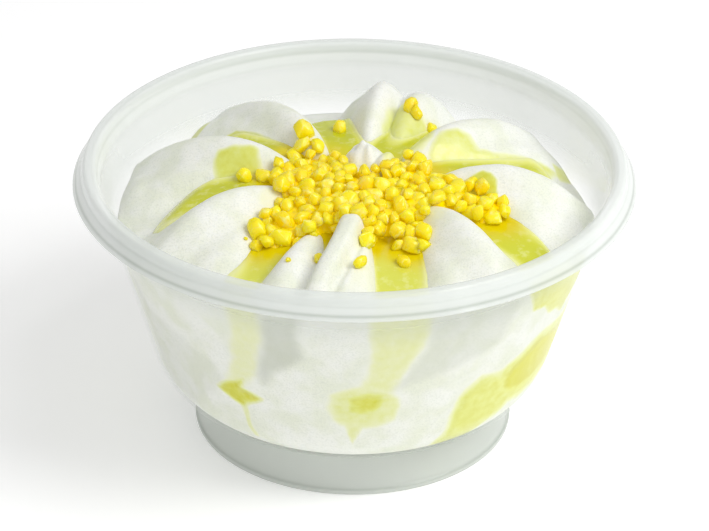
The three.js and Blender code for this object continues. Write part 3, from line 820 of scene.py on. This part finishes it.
def drop_grains(draw):
    """Centre and size in mm of each grain."""
    placed = []
    for azimuth, radius, size in STRAYS:
        x, y = radius * math.sin(math.radians(azimuth)), radius * math.cos(math.radians(azimuth))
        ground = float(np.maximum(ice_height(x, y), sauce_height(x, y)))
        placed.append((x, y, ground + STRAY_LIFT * size, size))
    outline = np.array(HEAP_OUTLINE)
    low, high = outline.min(axis=0), outline.max(axis=0)
    tries = draw.uniform(low, high, (HEAP_TRIES, 2))
    tries = tries[inside_distance(tries, HEAP_OUTLINE) > -HEAP_MARGIN]
    for x, y in tries:
        size = SMALLEST + SIZE_SPREAD * draw.random() ** SIZE_POWER
        ground = float(resting_surface(x, y))
        if ice_height(x, y) > mound_height(x, y) + CLIMB:
            continue
        z = ground + HEAP_LIFT * size
        near = np.array(placed)
        apart = CLOSENESS * (near[:, 3] + size)
        flat = np.hypot(near[:, 0] - x, near[:, 1] - y)
        touching = flat < apart
        if touching.any():
            lift = near[touching, 2] + np.sqrt(apart[touching] ** 2 - flat[touching] ** 2)
            z = max(z, float(lift.max()))
        if z < ground + PILED_UP:
            placed.append((x, y, z, size))
    return placed


def grain_heap(name, placed, draw):
    """One mesh of all the grains, with the edge mask and a tone for each grain."""
    points, all_faces, edges, tones = [], [], [], []
    for x, y, z, size in placed:
        grain, faces, edge = grain_shape(size, draw)
        first = len(points)
        points += [*(grain + (x, y, z))]
        all_faces += [[first + corner for corner in face] for face in faces]
        edges += edge
        tones += [draw.random()] * len(grain)
    return new_mesh(name, points, all_faces, {"edge": edges, "tone": tones})


draw = np.random.default_rng(7)
placed_grains = drop_grains(draw)
nougat = grain_heap("nougat_grains", placed_grains, draw)
print("nougat", len(placed_grains), "grains,", triangles(nougat), "triangles")


# %% Crumbs around the heap
CRUMBS = 30
CRUMB_TRIES = 4000
CRUMB_AREA = ((-24, -26), (30, 18))
CRUMB_REACH, CRUMB_FADE = 6, 1.0
CRUMB_SMALLEST, CRUMB_SPREAD, CRUMB_LIFT = 0.5, 0.8, 0.25


def crumb_places(draw):
    places = []
    tries = draw.uniform(*CRUMB_AREA, (CRUMB_TRIES, 2))
    away = inside_distance(tries, HEAP_OUTLINE)
    for (x, y), inside in zip(tries, away):
        if len(places) >= CRUMBS:
            break
        if inside < -CRUMB_REACH or draw.random() > math.exp(-max(0, -inside) / CRUMB_FADE):
            continue
        size = CRUMB_SMALLEST + CRUMB_SPREAD * draw.random() ** 2
        ground = float(np.maximum(ice_height(x, y), sauce_height(x, y)))
        places.append((x, y, ground + CRUMB_LIFT * size, size))
    return places


crumbs = grain_heap("nougat_crumbs", crumb_places(draw), draw)
print("crumbs", triangles(crumbs), "triangles")

# %% [markdown]
# ## The core under the heap
#
# Between the grains one looks down on sauce-soaked crumbs, not on white ice cream. A low mound of its
# own fills the heap from below, as the CAD solid does, and the grains stand out of it.

# %% Core
CORE_RINGS = 40
CORE_AROUND = 96
CORE_RELIEF = [
    # rise and size in mm, seed
    (0.25, 2.4, 71), (0.12, 0.9, 72),
]
CORE_OVER_MOUND, CORE_SHOULDER = 0.1, 2.6
CORE_MARGIN, CORE_DEPTH = 0.9, 0.6
CORE_HIDDEN = 0.3


def heap_core():
    angle = -np.arange(CORE_AROUND) * 2 * math.pi / CORE_AROUND
    share = np.linspace(0.02, 1.08, CORE_RINGS)[:, None]
    x = MOUND["x"] + share * MOUND["half_x"] * np.sin(angle)
    y = MOUND["y"] + share * MOUND["half_y"] * np.cos(angle)
    flat = np.column_stack([x.ravel(), y.ravel()])
    rough = sum(rise * soft_noise(flat, size, seed) for rise, size, seed in CORE_RELIEF)
    rough = rough.reshape(x.shape)
    ground = np.maximum(ice_height(x, y), sauce_height(x, y))
    inside = inside_distance(flat, HEAP_OUTLINE).reshape(x.shape)
    shoulder = ground + CORE_SHOULDER * smooth_step(inside / CORE_SHOULDER)
    top = np.minimum(mound_height(x, y) + CORE_OVER_MOUND, shoulder) + rough
    bottom = np.minimum(ground, top) - CORE_DEPTH
    keep = (top > ground - CORE_HIDDEN) & (inside > CORE_MARGIN)
    return closed_patch("nougat_core", x, y, top, bottom, keep, {"tone": rough})


core = heap_core()
print("core", triangles(core), "triangles")

# %% [markdown]
# ## The cup
#
# The cup is thin pressed plastic: a rolled rim with a flange, a wall that narrows to a round belly, and
# a hollow foot. It is a turned shape, so its profile is spun round the axis. The CAD cup has few sides,
# which shows in reflections. This one repeats its profile with rounded corners and many more sides.

# %% Cup's profile
CUP_HEIGHT = 52.7
FOOT_RADIUS, FOOT_TOP_RADIUS, FOOT_THICKNESS = 29.1, 27.9, 0.9
CUP_SIDES = 192
WALL_HAZE, UPPER_HAZE, RIM_HAZE, FOOT_HAZE = 0.08, 0.26, 0.24, 0.6
WET_FROM, WET_EASE = 0.6, 0.35


def outer_wall(z):
    return WALL_AT_FLANGE + WALL_SLOPE * (z - FLANGE_Z)


def belly_arc(radius, start, end, steps):
    angles = np.radians(np.linspace(start, end, steps))
    return [(BELLY_R + radius * math.cos(a), BELLY_Z + radius * math.sin(a)) for a in angles]


def belly_angle(r, radius):
    return -math.degrees(math.acos((r - BELLY_R) / radius))


def straight(start, end, steps):
    share = np.linspace(0, 1, steps)[:, None]
    return [tuple(p) for p in np.array(start) + share * (np.array(end) - np.array(start))]


def rounded(points, times):
    """Cuts the corners of an open line, and keeps its ends."""
    line = np.array(points)
    for _ in range(times):
        quarter = 0.75 * line[:-1] + 0.25 * line[1:]
        three = 0.25 * line[:-1] + 0.75 * line[1:]
        line = np.vstack([line[:1], np.stack([quarter, three], 1).reshape(-1, 2), line[-1:]])
    return line


def cup_profile():
    inner_radius = BELLY_RADIUS - WALL_THICKNESS
    slope = -math.degrees(WALL_ANGLE)
    foot_inner = FOOT_TOP_RADIUS - FOOT_THICKNESS
    inside = [(BELLY_R * t, BELLY_Z - inner_radius) for t in (0, 0.25, 0.5, 0.75)]
    inside += belly_arc(inner_radius, -90, slope, 16)
    inside += straight((inner_wall(BELLY_TOP + 2, 0), BELLY_TOP + 2), (inner_wall(50.6, 0), 50.6), 14)
    rim = [
        (inner_wall(50.9, 0), 50.9), (46.2, 51.7), (46.5, 52.4), (47.1, CUP_HEIGHT),
        (47.7, CUP_HEIGHT), (48.3, 52.65), (48.7, 52.2), (48.85, 51.6), (48.9, 51.0), (49.35, 50.4),
        (49.9, 49.6), (50.35, 49.0), (50.55, 48.75), (50.1, 48.65), (49.7, 48.75), (49.0, 49.8),
        (48.1, 51.0), (47.7, 51.45), (47.3, 51.5), (46.9, 51.0), (outer_wall(50.2), 50.2),
    ]
    outside = straight((outer_wall(49.6), 49.6), (outer_wall(BELLY_TOP + 2), BELLY_TOP + 2), 14)
    outside += belly_arc(BELLY_RADIUS, slope, belly_angle(FOOT_TOP_RADIUS, BELLY_RADIUS), 12)
    foot = [
        (28.05, 7.4), (28.25, 4.5), (28.5, 1.6), (28.75, 1.2), (29.05, 0.95), (FOOT_RADIUS, 0.5),
        (29.0, 0.05), (28.6, 0.0), (28.25, 0.1), (28.1, 0.6), (27.8, 1.3), (27.6, 1.8), (27.35, 4.5),
        (27.15, 7.2),
    ]
    under = belly_arc(BELLY_RADIUS, belly_angle(foot_inner, BELLY_RADIUS), -90, 4)
    under += [(BELLY_R * t, BELLY_Z - BELLY_RADIUS) for t in (0.75, 0.5, 0.25, 0)]
    return rounded(inside + rim + outside + foot + under, 2)


def haze_at(r, z):
    """How milky the plastic looks: most in the folded rim and the foot, least low on the wall."""
    upper = WALL_HAZE + UPPER_HAZE * smooth_step((z - 38) / 7)
    rim = RIM_HAZE * smooth_step((z - 47.6) / 1.2) * smooth_step((r - 45.2) / 0.8)
    foot = FOOT_HAZE * smooth_step((9.5 - z) / 2) * smooth_step((r - 24) / 2)
    return upper + rim + foot


# Painted shade: grey rings on the rim's bends and at the foot's bead
PAINTED_SHADE_LINES = [
    # radius and height in mm, width, strength
    (49.95, 49.5, 0.28, 1.0), (47.1, 52.5, 0.22, 0.5), (46.3, 51.0, 0.3, 0.45), (48.95, 50.7, 0.25, 0.35),
    (28.9, 1.0, 0.25, 0.6),
]


def painted_shade_line_at(r, z):
    """Painted shade: grey lines where the plastic is folded and bends the light that passes through it."""
    lines = [s * np.exp(-(((r - a) ** 2 + (z - b) ** 2) / w**2)) for a, b, w, s in PAINTED_SHADE_LINES]
    return np.maximum.reduce(lines)


def wet_at(azimuth, height):
    """Where sauce wets the wall from inside, the plastic loses its haze."""
    return smooth_step((painted(azimuth, height, STREAKS, STREAK_SEED) - WET_FROM) / WET_EASE)


profile = cup_profile()
turns = -np.arange(CUP_SIDES) * 2 * math.pi / CUP_SIDES
cup_rows = [
    np.column_stack([r * np.sin(turns), r * np.cos(turns), np.full(CUP_SIDES, z)])
    for r, z in profile[1:-1][::-1]
]
r, z = profile[::-1].T
per_row = [1, *[CUP_SIDES] * len(cup_rows), 1]
wetness = [wet_at(np.degrees(turns) % 360, row[:, 2]) for row in cup_rows]
cup = closed_grid("cup_shell", cup_rows, (0, 0, profile[-1][1]), (0, 0, profile[0][1]), {
    "haze": np.repeat(haze_at(r, z), per_row),
    "painted_shade_line": np.repeat(painted_shade_line_at(r, z), per_row),
    "wet": np.concatenate([[0], *wetness, [0]]),
})
print("cup", triangles(cup), "triangles")

# %% [markdown]
# ## Materials
#
# All finishes share one effect, a fine grain: frost on the ice cream, crumb on the grains, the slight
# haze of pressed plastic. It is a node group with a size in millimetres, built once, that puts out an
# even noise. Each material then uses it in its own strength.


# %% Helpers for nodes
def paint(red, green, blue):
    """A colour given as it looks on a screen, from 0 to 255, turned into the shader's values."""
    values = [c / 255 for c in (red, green, blue)]
    return (*[v / 12.92 if v <= 0.04045 else ((v + 0.055) / 1.055) ** 2.4 for v in values], 1.0)


def add(tree, kind, inputs=None, **settings):
    node = tree.nodes.new(kind)
    for key, value in settings.items():
        setattr(node, key, value)
    for key, value in (inputs or {}).items():
        if isinstance(value, bpy.types.NodeSocket):
            tree.links.new(value, node.inputs[key])
        else:
            node.inputs[key].default_value = value
    return node


def fine_grain_group():
    """Noise from 0 to 1 whose lumps are Size millimetres across."""
    tree = bpy.data.node_groups.new("fine_grain", "ShaderNodeTree")
    size = tree.interface.new_socket("Size", in_out="INPUT", socket_type="NodeSocketFloat")
    size.default_value = 0.5
    detail = tree.interface.new_socket("Detail", in_out="INPUT", socket_type="NodeSocketFloat")
    detail.default_value = 2.0
    tree.interface.new_socket("Value", in_out="OUTPUT", socket_type="NodeSocketFloat")
    start = add(tree, "NodeGroupInput")
    end = add(tree, "NodeGroupOutput")
    place = add(tree, "ShaderNodeTexCoord")
    per_metre = add(
        tree, "ShaderNodeMath", {0: 1 / MM, 1: start.outputs["Size"]}, operation="DIVIDE"
    )
    noise = add(tree, "ShaderNodeTexNoise", {
        "Vector": place.outputs["Object"],
        "Scale": per_metre.outputs[0],
        "Detail": start.outputs["Detail"],
        "Roughness": 0.55,
    })
    tree.links.new(noise.outputs["Fac"], end.inputs["Value"])
    return tree


fine_grain = fine_grain_group()


def grain_value(tree, size, detail=2.0):
    group = add(tree, "ShaderNodeGroup", node_tree=fine_grain)
    group.inputs["Size"].default_value = size
    group.inputs["Detail"].default_value = detail
    return group.outputs["Value"]


def blank_material(name):
    """A material with only a Principled shader, its tree and that shader."""
    material = bpy.data.materials.new(name)
    material.use_nodes = True
    tree = material.node_tree
    return material, tree, tree.nodes["Principled BSDF"]


def attribute(tree, name):
    return add(tree, "ShaderNodeAttribute", attribute_name=name).outputs["Fac"]


def between(tree, value, low, high, to_low=0.0, to_high=1.0):
    """value carried from low..high to to_low..to_high, smoothly and no further."""
    node = add(tree, "ShaderNodeMapRange", {
        "Value": value, "From Min": low, "From Max": high, "To Min": to_low, "To Max": to_high,
    }, interpolation_type="SMOOTHSTEP")
    return node.outputs["Result"]


def mixed(tree, factor, first, second):
    node = add(tree, "ShaderNodeMix", data_type="RGBA")
    for socket, value in ((0, factor), (6, first), (7, second)):
        if isinstance(value, bpy.types.NodeSocket):
            tree.links.new(value, node.inputs[socket])
        else:
            node.inputs[socket].default_value = value
    return node.outputs[2]


def calculated(tree, operation, first, second):
    return add(tree, "ShaderNodeMath", {0: first, 1: second}, operation=operation).outputs[0]


def bumped(tree, shader, height, strength, distance):
    bump = add(tree, "ShaderNodeBump", {
        "Height": height, "Strength": strength, "Distance": distance * MM,
    })
    tree.links.new(bump.outputs["Normal"], shader.inputs["Normal"])


def give(piece, material):
    piece.data.materials.clear()
    piece.data.materials.append(material)


print("group", fine_grain.name)

# %% [markdown]
# ## Ice cream's finish
#
# Soft ice cream is almost white, with a hint of cream, a matt frosty surface and a little light that
# goes in and comes out again. The film attribute says how much sauce covers it, through a ramp from
# white over pale green to strong yellow, with a patchy edge. The shade attribute carries painted shade:
# it greys the ice cream where a thin layer of air lies behind the wall.

# %% Ice cream material
ICE_WHITE = paint(244, 245, 238)
ICE_SHADE = paint(234, 237, 220)
FROST_SHADOW = paint(205, 210, 198)
# painted shade: the grey laid on where air lies behind the wall
PAINTED_GAP_SHADE = paint(190, 194, 180)
FILM_STEPS = [(0.0, ICE_WHITE), (0.35, paint(234, 237, 188)), (0.7, paint(222, 226, 118)),
              (1.0, paint(207, 205, 4))]


def stepped(tree, value, steps):
    """A colour ramp through the steps, given as places from 0 to 1 and colours."""
    ramp = add(tree, "ShaderNodeValToRGB", {"Fac": value})
    ramp.color_ramp.elements[0].color = steps[0][1]
    ramp.color_ramp.elements[1].color = steps[-1][1]
    for place, colour in steps[1:-1]:
        ramp.color_ramp.elements.new(place).color = colour
    return ramp.outputs["Color"]


def ice_cream_material():
    material, tree, shader = blank_material("soft_ice_cream")
    film = attribute(tree, "film")
    patchy = calculated(tree, "SUBTRACT", grain_value(tree, 1.6, 4), 0.5)
    uneven = calculated(tree, "MULTIPLY", patchy, between(tree, film, 0.03, 0.5, 0.0, 0.45))
    sauce_share = calculated(tree, "ADD", film, uneven)
    cloudy = between(tree, grain_value(tree, 6.0, 2), 0.35, 0.7)
    plain = mixed(tree, cloudy, ICE_WHITE, ICE_SHADE)
    speckle = between(tree, grain_value(tree, 0.35, 2), 0.45, 0.75, 0.0, 0.4)
    white = mixed(tree, speckle, plain, FROST_SHADOW)
    covered = between(tree, sauce_share, 0.0, 0.3)
    coated = mixed(tree, covered, white, stepped(tree, sauce_share, FILM_STEPS))
    # painted shade: grey where air lies behind the wall
    colour = mixed(tree, attribute(tree, "shade"), coated, PAINTED_GAP_SHADE)
    tree.links.new(colour, shader.inputs["Base Color"])
    tree.links.new(between(tree, film, 0.25, 0.7, 0.55, 0.28), shader.inputs["Roughness"])
    tree.links.new(between(tree, film, 0.35, 0.8, 0.0, 0.25), shader.inputs["Coat Weight"])
    shader.inputs["Coat Roughness"].default_value = 0.08
    shader.inputs["Subsurface Weight"].default_value = 0.25
    shader.inputs["Subsurface Radius"].default_value = (1.0, 0.95, 0.8)
    shader.inputs["Subsurface Scale"].default_value = 2.0 * MM
    shader.inputs["Specular IOR Level"].default_value = 0.35
    frost = calculated(tree, "ADD", grain_value(tree, 0.3, 3), grain_value(tree, 1.1, 3))
    height = calculated(tree, "MULTIPLY", frost, between(tree, film, 0.2, 0.7, 1.0, 0.25))
    bumped(tree, shader, height, 0.5, 0.14)
    return material


give(ice_cream, ice_cream_material())
print("ice cream material")

# %% [markdown]
# ## Sauce's finish
#
# The sauce is a clear lemon jelly over white, so a thin layer is pale and a deep one strong. Near the
# heap it has taken up the grains' colour. A depth attribute through a colour ramp gives this without
# the noise of a real volume. A slow mottle stands for the foam that has melted into it.

# %% Sauce material
SAUCE_STEPS = [(0.0, paint(236, 238, 165)), (0.22, paint(226, 228, 112)),
               (0.55, paint(209, 212, 56)), (1.0, paint(193, 198, 20))]
SAUCE_NEAR_HEAP = paint(222, 204, 6)
SAUCE_HAZE = paint(236, 238, 170)
SAUCE_FULL_DEPTH = 3.4


def sauce_material():
    material, tree, shader = blank_material("lemon_sauce")
    deep = add(tree, "ShaderNodeMapRange", {
        "Value": attribute(tree, "depth"), "From Min": 0.0, "From Max": SAUCE_FULL_DEPTH,
    }).outputs["Result"]
    veins = between(tree, grain_value(tree, 1.6, 5), 0.5, 0.75, 0.0, 0.5)
    mottled = mixed(tree, veins, stepped(tree, deep, SAUCE_STEPS), SAUCE_HAZE)
    near = between(tree, attribute(tree, "near_heap"), 0.15, 0.95)
    tree.links.new(mixed(tree, near, mottled, SAUCE_NEAR_HEAP), shader.inputs["Base Color"])
    shader.inputs["Roughness"].default_value = 0.12
    shader.inputs["Subsurface Weight"].default_value = 0.2
    shader.inputs["Subsurface Radius"].default_value = (1.0, 0.9, 0.3)
    shader.inputs["Subsurface Scale"].default_value = 1.5 * MM
    bumped(tree, shader, grain_value(tree, 1.6, 2), 0.25, 0.1)
    return material


give(sauce, sauce_material())
print("sauce material")

# %% [markdown]
# ## Nougat's finish
#
# The grains are saturated yellow, no two quite alike, with whitish worn edges and small wet glints.
# Light wanders through the whole heap, so even its gaps are bright yellow. Subsurface light only
# travels inside one piece, so a faint yellow glow stands for what one grain passes on to the next.

# %% Nougat materials
NOUGAT_DEEP = paint(247, 214, 0)
NOUGAT_BRIGHT = paint(254, 231, 14)
NOUGAT_EDGE = paint(253, 247, 176)
NOUGAT_GLOW = paint(250, 226, 0)
GLOW = 0.07
CORE_DEEP = paint(247, 215, 0)
CORE_BRIGHT = paint(253, 232, 4)


def nougat_material():
    material, tree, shader = blank_material("nougat_yellow")
    body = mixed(tree, attribute(tree, "tone"), NOUGAT_DEEP, NOUGAT_BRIGHT)
    rough = grain_value(tree, 0.7, 3)
    worn = calculated(tree, "MULTIPLY", between(tree, attribute(tree, "edge"), 0.2, 0.85),
                      between(tree, rough, 0.35, 0.65))
    pale = calculated(tree, "MULTIPLY", worn, 0.65)
    tree.links.new(mixed(tree, pale, body, NOUGAT_EDGE), shader.inputs["Base Color"])
    tree.links.new(between(tree, rough, 0.3, 0.7, 0.22, 0.5), shader.inputs["Roughness"])
    shader.inputs["Subsurface Weight"].default_value = 0.8
    shader.inputs["Subsurface Radius"].default_value = (1.0, 0.85, 0.1)
    shader.inputs["Subsurface Scale"].default_value = 2.0 * MM
    shader.inputs["Emission Color"].default_value = NOUGAT_GLOW
    shader.inputs["Emission Strength"].default_value = GLOW
    shader.inputs["Coat Weight"].default_value = 0.18
    shader.inputs["Coat Roughness"].default_value = 0.12
    bumped(tree, shader, grain_value(tree, 0.4, 3), 0.4, 0.12)
    return material


def core_material():
    material, tree, shader = blank_material("soaked_crumbs")
    crumb = grain_value(tree, 1.0, 3)
    colour = mixed(tree, between(tree, crumb, 0.35, 0.65), CORE_DEEP, CORE_BRIGHT)
    tree.links.new(colour, shader.inputs["Base Color"])
    # painted light: the core glows a little, for light that the grains pass on to it
    shader.inputs["Emission Color"].default_value = NOUGAT_GLOW
    shader.inputs["Emission Strength"].default_value = 1.5 * GLOW
    shader.inputs["Roughness"].default_value = 0.2
    bumped(tree, shader, crumb, 0.6, 0.3)
    return material


yellow = nougat_material()
give(nougat, yellow)
give(crumbs, yellow)
give(core, core_material())
print("nougat materials")

# %% [markdown]
# ## Plastic's finish
#
# Thin polypropylene is clear but for a slight milky haze, which looks denser where the wall is seen
# along its length. Real refraction in so thin a shell costs many light bounces and adds little, so the
# shader is a glossy white one that is mostly see-through, with an alpha that grows towards grazing
# views. Where sauce wets the wall from inside, nearly all of the haze goes.

# %% Plastic material
PLASTIC_HAZE = paint(221, 226, 221)
PLASTIC_RIM = paint(240, 244, 241)
PLASTIC_FOOT = paint(221, 226, 219)
# painted shade of the fold lines
PLASTIC_PAINTED_SHADE = paint(190, 197, 188)


def plastic_material():
    material, tree, shader = blank_material("clear_plastic")
    shade_lines = attribute(tree, "painted_shade_line")
    thick = between(tree, attribute(tree, "haze"), 0.38, 0.5)
    foot = between(tree, attribute(tree, "haze"), 0.56, 0.64)
    milk = mixed(tree, foot, mixed(tree, thick, PLASTIC_HAZE, PLASTIC_RIM), PLASTIC_FOOT)
    # painted shade: the fold lines grey the plastic's colour
    tree.links.new(mixed(tree, shade_lines, milk, PLASTIC_PAINTED_SHADE), shader.inputs["Base Color"])
    haze = grain_value(tree, 0.45, 2)
    tree.links.new(between(tree, haze, 0.3, 0.7, 0.08, 0.16), shader.inputs["Roughness"])
    shader.inputs["IOR"].default_value = 1.49
    shader.inputs["Specular IOR Level"].default_value = 0.3
    facing = add(tree, "ShaderNodeLayerWeight", {"Blend": 0.35}).outputs["Facing"]
    slanting = between(tree, facing, 0.4, 1.0, 0.0, 0.14)
    milky = calculated(tree, "ADD", attribute(tree, "haze"), slanting)
    dry = between(tree, attribute(tree, "wet"), 0.0, 1.0, 1.0, 0.12)
    milky = calculated(tree, "MULTIPLY", milky, dry)
    tree.links.new(calculated(tree, "MINIMUM", milky, 0.92), shader.inputs["Alpha"])
    bumped(tree, shader, haze, 0.06, 0.05)
    return material


give(cup, plastic_material())
print("plastic material")

# %% [markdown]
# ## Floor and light
#
# The photograph is high in key, with a soft main light from the right, above and a little in front, and
# a bright surround. A large area light and a white world give the same. The floor is a plain
# pale plane that glows faintly, as a table lit from below does, so that the shadow stays light.

# %% Floor, lights and world
FLOOR_GLOW = 0.2
WORLD_STRENGTH = 0.56
LIT_PLACE = (0, 0, 0.03)
floor_mesh = bpy.data.meshes.new("floor")
FLOOR_REACH = 3.0
corners = [(-1, -1), (1, -1), (1, 1), (-1, 1)]
floor_mesh.from_pydata([(FLOOR_REACH * x, FLOOR_REACH * y, 0) for x, y in corners], [], [(0, 1, 2, 3)])
floor = bpy.data.objects.new("floor", floor_mesh)
bpy.context.collection.objects.link(floor)
floor_material, _, floor_shader = blank_material("pale_floor")
floor_shader.inputs["Base Color"].default_value = paint(254, 254, 254)
floor_shader.inputs["Roughness"].default_value = 0.6
floor_shader.inputs["Emission Color"].default_value = (1, 1, 1, 1)
floor_shader.inputs["Emission Strength"].default_value = FLOOR_GLOW
give(floor, floor_material)


def area_light(name, place, target, size, power):
    data = bpy.data.lights.new(name, "AREA")
    data.size = size
    data.energy = power
    light = bpy.data.objects.new(name, data)
    light.location = place
    direction = Vector(target) - Vector(place)
    light.rotation_euler = direction.to_track_quat("-Z", "Y").to_euler()
    bpy.context.collection.objects.link(light)


area_light("key_light", (0.34, -0.18, 0.5), LIT_PLACE, 0.3, 2.1)
area_light("fill_light", (-0.1, -0.6, 0.35), LIT_PLACE, 0.6, 0.2)

world = bpy.data.worlds.new("pale_surround")
world.use_nodes = True
world.node_tree.nodes["Background"].inputs["Color"].default_value = (1, 1, 1, 1)
world.node_tree.nodes["Background"].inputs["Strength"].default_value = WORLD_STRENGTH
bpy.context.scene.world = world
bpy.context.scene.view_settings.view_transform = "Standard"
print("stage is set")

# %% [markdown]
# ## Into the frame
#
# Each piece rides on the one body of the part, and the CAD part that it stands for, if any, is hidden.

# %% Bodies, nodes and slots
PLACES = [
    # piece, CAD node, material slot
    (cup, "cup", "clear_plastic"),
    (ice_cream, "ice_cream", "ice_cream"),
    (sauce, "sauce", "sauce"),
    (nougat, "nougat_heap", "nougat"),
    (core, "nougat_heap", "nougat"),
    (crumbs, None, "nougat"),
]
for piece, node, slot in PLACES:
    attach(piece, "root")
    if node:
        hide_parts(node)
